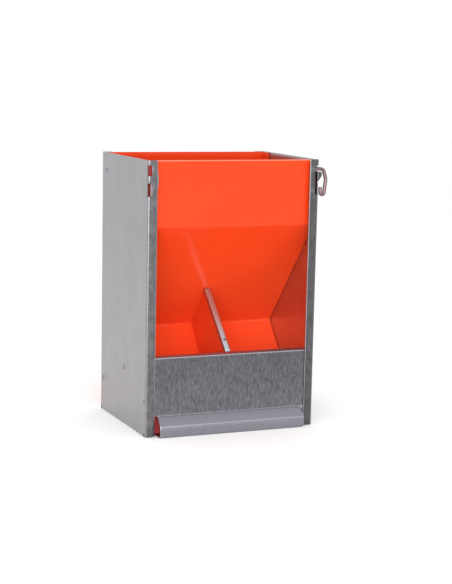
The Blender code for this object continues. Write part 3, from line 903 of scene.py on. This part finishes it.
def trayOutline(shape, low, high):
    # Round: a rectangle with rounded corners, from the middle of its front. Also gives the
    # depth where the rim steps down before the flap
    flapAngle = math.radians(hopperShape["flapAngle"])
    flapEnd = hopperShape["crook"][0] - hopperShape["flapLength"] * math.cos(flapAngle)
    stepRear = flapEnd - shape["stepBeforeFlap"]
    stepFront = stepRear - shape["stepLength"]
    right = [(high.x, depth) for depth in (low.y, stepFront, stepRear, high.y)]
    left = [(-x, depth) for x, depth in reversed(right)]
    radii = [shape["corner"], 0, 0, shape["corner"]] * 2
    return roundedPath([(0, low.y), *right, *left, (0, low.y)], radii, step=0.005)[:-1], stepFront


def feedTray(shape):
    # Round: the outline. Up: rings from the middle of the floor outwards, a quarter round, and
    # the wall up to a rim that drops from the front to the ends and once more before the flap
    low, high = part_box("feed_tray")
    centre = np.array([0, (low.y + high.y) / 2])
    corner, fillet = shape["corner"], shape["fillet"]
    outline, stepFront = trayOutline(shape, low, high)
    ahead = np.roll(outline, -1, axis=0) - np.roll(outline, 1, axis=0)
    ahead /= np.linalg.norm(ahead, axis=1, keepdims=True)
    inward = np.stack([-ahead[:, 1], ahead[:, 0]], axis=-1)
    toFront = smoothStep((low.y + corner + shape["frontRun"] - outline[:, 1]) / corner)
    toRear = smoothStep((outline[:, 1] - stepFront) / shape["stepLength"])
    rim = shape["endHeight"] + (high.z - shape["endHeight"]) * toFront
    rim = rim - (shape["endHeight"] - shape["rearHeight"]) * toRear
    floorRings, filletRings, wallRings = shape["rings"]
    rings, heights = [], []
    edgeRing = outline + inward * fillet
    for share in np.linspace(0, 1, floorRings + 1):
        rings.append(centre + (edgeRing - centre) * share)
        heights.append(np.full(len(outline), low.z))
    for angle in np.linspace(0, math.pi / 2, filletRings + 1)[1:]:
        rings.append(outline + inward * fillet * (1 - math.sin(angle)))
        heights.append(np.full(len(outline), low.z + fillet * (1 - math.cos(angle))))
    for share in np.linspace(0, 1, wallRings + 1)[1:]:
        rings.append(outline)
        heights.append(low.z + fillet + (rim - low.z - fillet) * share)
    grid = np.concatenate([np.stack(rings), np.stack(heights)[..., None]], axis=-1)
    parts = [surfaceParts(grid, aroundColumns=True)]
    piece = makePiece("feedTray", parts, (0, 0, -1), smoothAngle=60)
    giveThickness(piece, plasticSheet, shape["edge"], edgeAngle=60)
    return piece


settle(feedTray(trayShape), "body", "orange_plastic", orange, "feed_tray")
redress("divider_plate", orange)
print("orange sheets: done")


# Divider bar: a narrow channel over the plate's front edge
barShape = {
    "foot": (0.0100, 0.0900),
    "angle": 44.1,
    "half": 0.0037,
    "wall": 0.0016,
    "leg": 0.006,
    "bend": 0.0019,
    "rows": 40,
    "edge": 0.0003,
}
channelLook = {"colour": (0.54, 0.68, 0.74), "crystalDepth": 0.01}
# Dark and reddish: painted shade on the pin
pinLook = {"colour": (0.16, 0.12, 0.12), "crystals": 900}


def dividerBar(shape):
    # Round: the channel's section, across the bar and out of its face. Along: the bar's length,
    # and both are turned by the bar's angle to the body's own axes
    angle, (footY, footZ) = math.radians(shape["angle"]), shape["foot"]
    half, leg = shape["half"], shape["leg"]
    corners = [(-half, -leg), (-half, 0), (half, 0), (half, -leg)]
    section = roundedPath(corners, [shape["bend"]] * 2, step=0.0015)
    across, out = section[:, :1], section[:, 1:]
    length = (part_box("divider_channel")[1].z - footZ) / math.sin(angle)
    along = np.linspace(0, length, shape["rows"])
    y = footY + along * math.cos(angle) - out * math.sin(angle)
    z = footZ + along * math.sin(angle) + out * math.cos(angle)
    parts = [surfaceParts(asGrid(across, y, z))]
    piece = makePiece("dividerBar", parts, (0, -1, 1), smoothAngle=60)
    giveThickness(piece, shape["wall"], shape["edge"])
    return piece


channelSteel = galvanised("channelSteel", channelLook)
pinSteel = galvanised("pinSteel", pinLook)
settle(dividerBar(barShape), "body", "channel_steel", channelSteel, "divider_channel")
redress("divider_pin", pinSteel)


# Rivets: turned about the line across the body, a domed head outside and a flatter one inside
rivetShape = {
    "shank": 0.0015,
    "tailHeight": 0.0008,
    "lift": 0.0001,
    "headSteps": 7,
    "sides": 32,
}
rivetLook = {"colour": (0.25, 0.25, 0.27), "crystals": 900, "roughness": 0.25}


def domedRivet(node, shape):
    # Round: one turn. Along: a quarter ellipse for the head, the shank, and the tail's ellipse
    low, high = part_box(node)
    side = 1 if high.x > 0 else -1
    crown, end = (high.x, low.x) if side > 0 else (-low.x, -high.x)
    shank, headRadius = shape["shank"], (high.y - low.y) / 2
    face, tailFace = halfWidth + shape["lift"], end + shape["tailHeight"]
    quarter = np.linspace(0, math.pi / 2, shape["headSteps"] + 1)
    head, tail = face + (crown - face) * np.cos(quarter), tailFace - (tailFace - end) * np.sin(quarter)
    place = np.concatenate([head, [face, tailFace, tailFace], tail])[:, None]
    radius = [headRadius * np.sin(quarter), [shank, shank, headRadius], headRadius * np.cos(quarter)]
    radius = np.concatenate(radius)[:, None]
    turn = np.linspace(0, 2 * math.pi, shape["sides"] + 1)[:-1]
    y = (low.y + high.y) / 2 + radius * np.cos(turn)
    z = (low.z + high.z) / 2 + radius * np.sin(turn)
    first, *others = node.split("_")
    pieceName = first + "".join(word.capitalize() for word in others)
    parts = [surfaceParts(asGrid(side * place, y, z), aroundColumns=True)]
    return makePiece(pieceName, parts, "solid", smoothAngle=50)


rivetSteel = galvanised("rivetSteel", rivetLook)
for node in sorted(nodes):
    if node.endswith("_rivet"):
        settle(domedRivet(node, rivetShape), "body", "rivet_steel", rivetSteel, node)
print("bar and rivets: done")


# Hooks: round wire bent in one plane, swinging on its straight leg
hookShape = {
    "wire": 0.0021,
    "foot": 0.2585,
    "top": 0.2953,
    "shoulder": (0.0117, 0.2936),
    "reach": (0.0151, 0.2830),
    "toe": (0.01324, 0.2655),
    "turn": (0.0085, 0.2655),
    "end": (0.0085, 0.2738),
    "radii": (0.00305, 0.0042, 0.0084, 0.00231, 0.00231),
    "endRound": 0.0006,
    "endSteps": 4,
    "sides": 24,
    "leftDrop": 0.0102,
}
wireLook = {"colour": (0.21, 0.14, 0.145), "crystals": 1200, "roughness": 0.42}


def hook(name, shape, place, turn, drop):
    # Along: the wire's path in its own plane. Round: one turn of its section, which closes at
    # both ends with a small round
    corners = [(0, shape["foot"]), (0, shape["top"])]
    corners += [shape[key] for key in ("shoulder", "reach", "toe", "turn", "end")]
    path = roundedPath(corners, shape["radii"], arcSteps=10, step=0.002)
    ahead = np.gradient(path, axis=0)
    ahead /= np.linalg.norm(ahead, axis=1, keepdims=True)
    wire, endRound, endSteps = shape["wire"], shape["endRound"], shape["endSteps"]
    quarter = np.linspace(0, math.pi / 2, endSteps + 1)[:-1]
    capRadius = wire - endRound + endRound * np.sin(quarter)
    fromEnd = (endRound - endRound * np.cos(quarter))[:, None]
    starts = path[0] + ahead[0] * fromEnd
    ends = path[-1] - ahead[-1] * fromEnd[::-1]
    spine = np.concatenate([path[:1], starts, path[1:-1], ends, path[-1:]])
    radius = [[0], capRadius, np.full(len(path) - 2, wire), capRadius[::-1], [0]]
    radius = np.concatenate(radius)[:, None]
    capWays = [np.repeat(ahead[end][None], endSteps + 1, axis=0) for end in (0, -1)]
    ways = np.concatenate([capWays[0], ahead[1:-1], capWays[1]])
    turnAngle = np.linspace(0, 2 * math.pi, shape["sides"] + 1)[None, :-1]
    sideways = np.stack([-ways[:, 1], ways[:, 0]], axis=-1)
    flat = spine[:, None] + sideways[:, None] * (radius * np.cos(turnAngle))[..., None]
    depth = radius * np.sin(turnAngle)
    x = place[0] + flat[..., 0] * math.cos(turn) - depth * math.sin(turn)
    y = place[1] + flat[..., 0] * math.sin(turn) + depth * math.cos(turn)
    parts = [surfaceParts(asGrid(x, y, flat[..., 1] - drop), aroundColumns=True)]
    return makePiece(name, parts, "solid", smoothAngle=70)


hookWire = galvanised("hookWire", wireLook)
for side, turn, drop in (("left", math.radians(90), hookShape["leftDrop"]), ("right", 0.0, 0.0)):
    node = side + "_hook"
    axisPlace = next(joint["pos_m"] for joint in frame["joints"] if joint["child"] == node)
    piece = hook(side + "Hook", hookShape, axisPlace, turn, drop)
    settle(piece, node, "hook_wire", hookWire, node)
print("hooks: done")


# Floor and light
studio = {
    "floor": 0.94,
    "floorSpread": 0.01,
    "floorClouds": 3,
    "floorRoughness": 0.85,
    "floorSpecular": 0.1,
    "floorHalf": 6.0,
    "world": 1.06,
    "lightsAt": (0, 0, 0.15),
    "keyPlace": (-0.9, -2.6, 1.3),
    "keySize": 3.6,
    "keyPower": 32,
    "fillPlace": (-0.9, -2.0, 0.35),
    "fillSize": 1.8,
    "fillPower": 36,
}


def makeFloor(look):
    mesh = bpy.data.meshes.new("floor")
    half = look["floorHalf"]
    corners = [(-half, -half, 0), (half, -half, 0), (half, half, 0), (-half, half, 0)]
    mesh.from_pydata(corners, [], [(0, 1, 2, 3)])
    material, tree, shader, place = startMaterial("paleFloor")
    noise = noiseAt(tree, place, look["floorClouds"])
    tone = spread(tree, noise, look["floor"] - look["floorSpread"], look["floor"] + look["floorSpread"])
    colour = addNode(tree, "ShaderNodeCombineColor", {0: tone, 1: tone, 2: tone})
    tree.links.new(colour.outputs[0], shader.inputs["Base Color"])
    shader.inputs["Roughness"].default_value = look["floorRoughness"]
    shader.inputs["Specular IOR Level"].default_value = look["floorSpecular"]
    mesh.materials.append(material)
    floor = bpy.data.objects.new("floor", mesh)
    bpy.context.scene.collection.objects.link(floor)
    return floor


def lightWorld(strength):
    world = bpy.data.worlds.new("studio")
    bpy.context.scene.world = world
    world.use_nodes = True
    background = world.node_tree.nodes["Background"]
    background.inputs["Color"].default_value = (1, 1, 1, 1)
    background.inputs["Strength"].default_value = strength


def addAreaLight(name, place, target, size, power):
    data = bpy.data.lights.new(name, "AREA")
    data.shape = "DISK"
    data.size = size
    data.energy = power
    lamp = bpy.data.objects.new(name, data)
    back = unit(np.array(place) - np.array(target))
    right = unit(np.cross((0, 0, 1), back))
    up = np.cross(back, right)
    matrix = Matrix(np.array([right, up, back]).T.tolist()).to_4x4()
    matrix.translation = place
    lamp.matrix_world = matrix
    bpy.context.scene.collection.objects.link(lamp)


makeFloor(studio)
lightWorld(studio["world"])
for light in ("key", "fill"):
    place, size, power = (studio[light + what] for what in ("Place", "Size", "Power"))
    addAreaLight(light + "Light", place, studio["lightsAt"], size, power)
bpy.context.scene.view_settings.view_transform = "Standard"


# Camera at the photograph's angle: where it stands, how it is turned, and its lens
cameraView = {
    "place": (-0.6645, -1.5379, 0.4132),
    "yaw": 23.670,
    "pitch": 9.551,
    "roll": 1.315,
    "lens": 94.0,
    "sensor": 36.0,
    "shift": (-0.0248, 0.0420),
}


def turnZ(angle):
    cos, sin = math.cos(angle), math.sin(angle)
    return np.array([[cos, -sin, 0], [sin, cos, 0], [0, 0, 1]])


def turnX(angle):
    cos, sin = math.cos(angle), math.sin(angle)
    return np.array([[1, 0, 0], [0, cos, -sin], [0, sin, cos]])


def makeCamera(view):
    # The body's axes are turned by the yaw, laid into the picture, tilted and then rolled. The
    # rows are then the picture's right, its down and the way into it
    yaw, pitch, roll = (math.radians(view[key]) for key in ("yaw", "pitch", "roll"))
    toImage = np.array([[1, 0, 0], [0, 0, -1], [0, 1, 0]])
    rows = turnZ(roll) @ turnX(pitch) @ toImage @ turnZ(yaw)
    matrix = Matrix(np.array([rows[0], -rows[1], -rows[2]]).T.tolist()).to_4x4()
    matrix.translation = view["place"]
    data = bpy.data.cameras.new("camera")
    data.lens = view["lens"]
    data.sensor_width = view["sensor"]
    data.shift_x, data.shift_y = view["shift"]
    camera = bpy.data.objects.new("camera", data)
    camera.matrix_world = matrix
    bpy.context.scene.collection.objects.link(camera)
    bpy.context.scene.camera = camera


makeCamera(cameraView)
print("floor, light and camera: done")
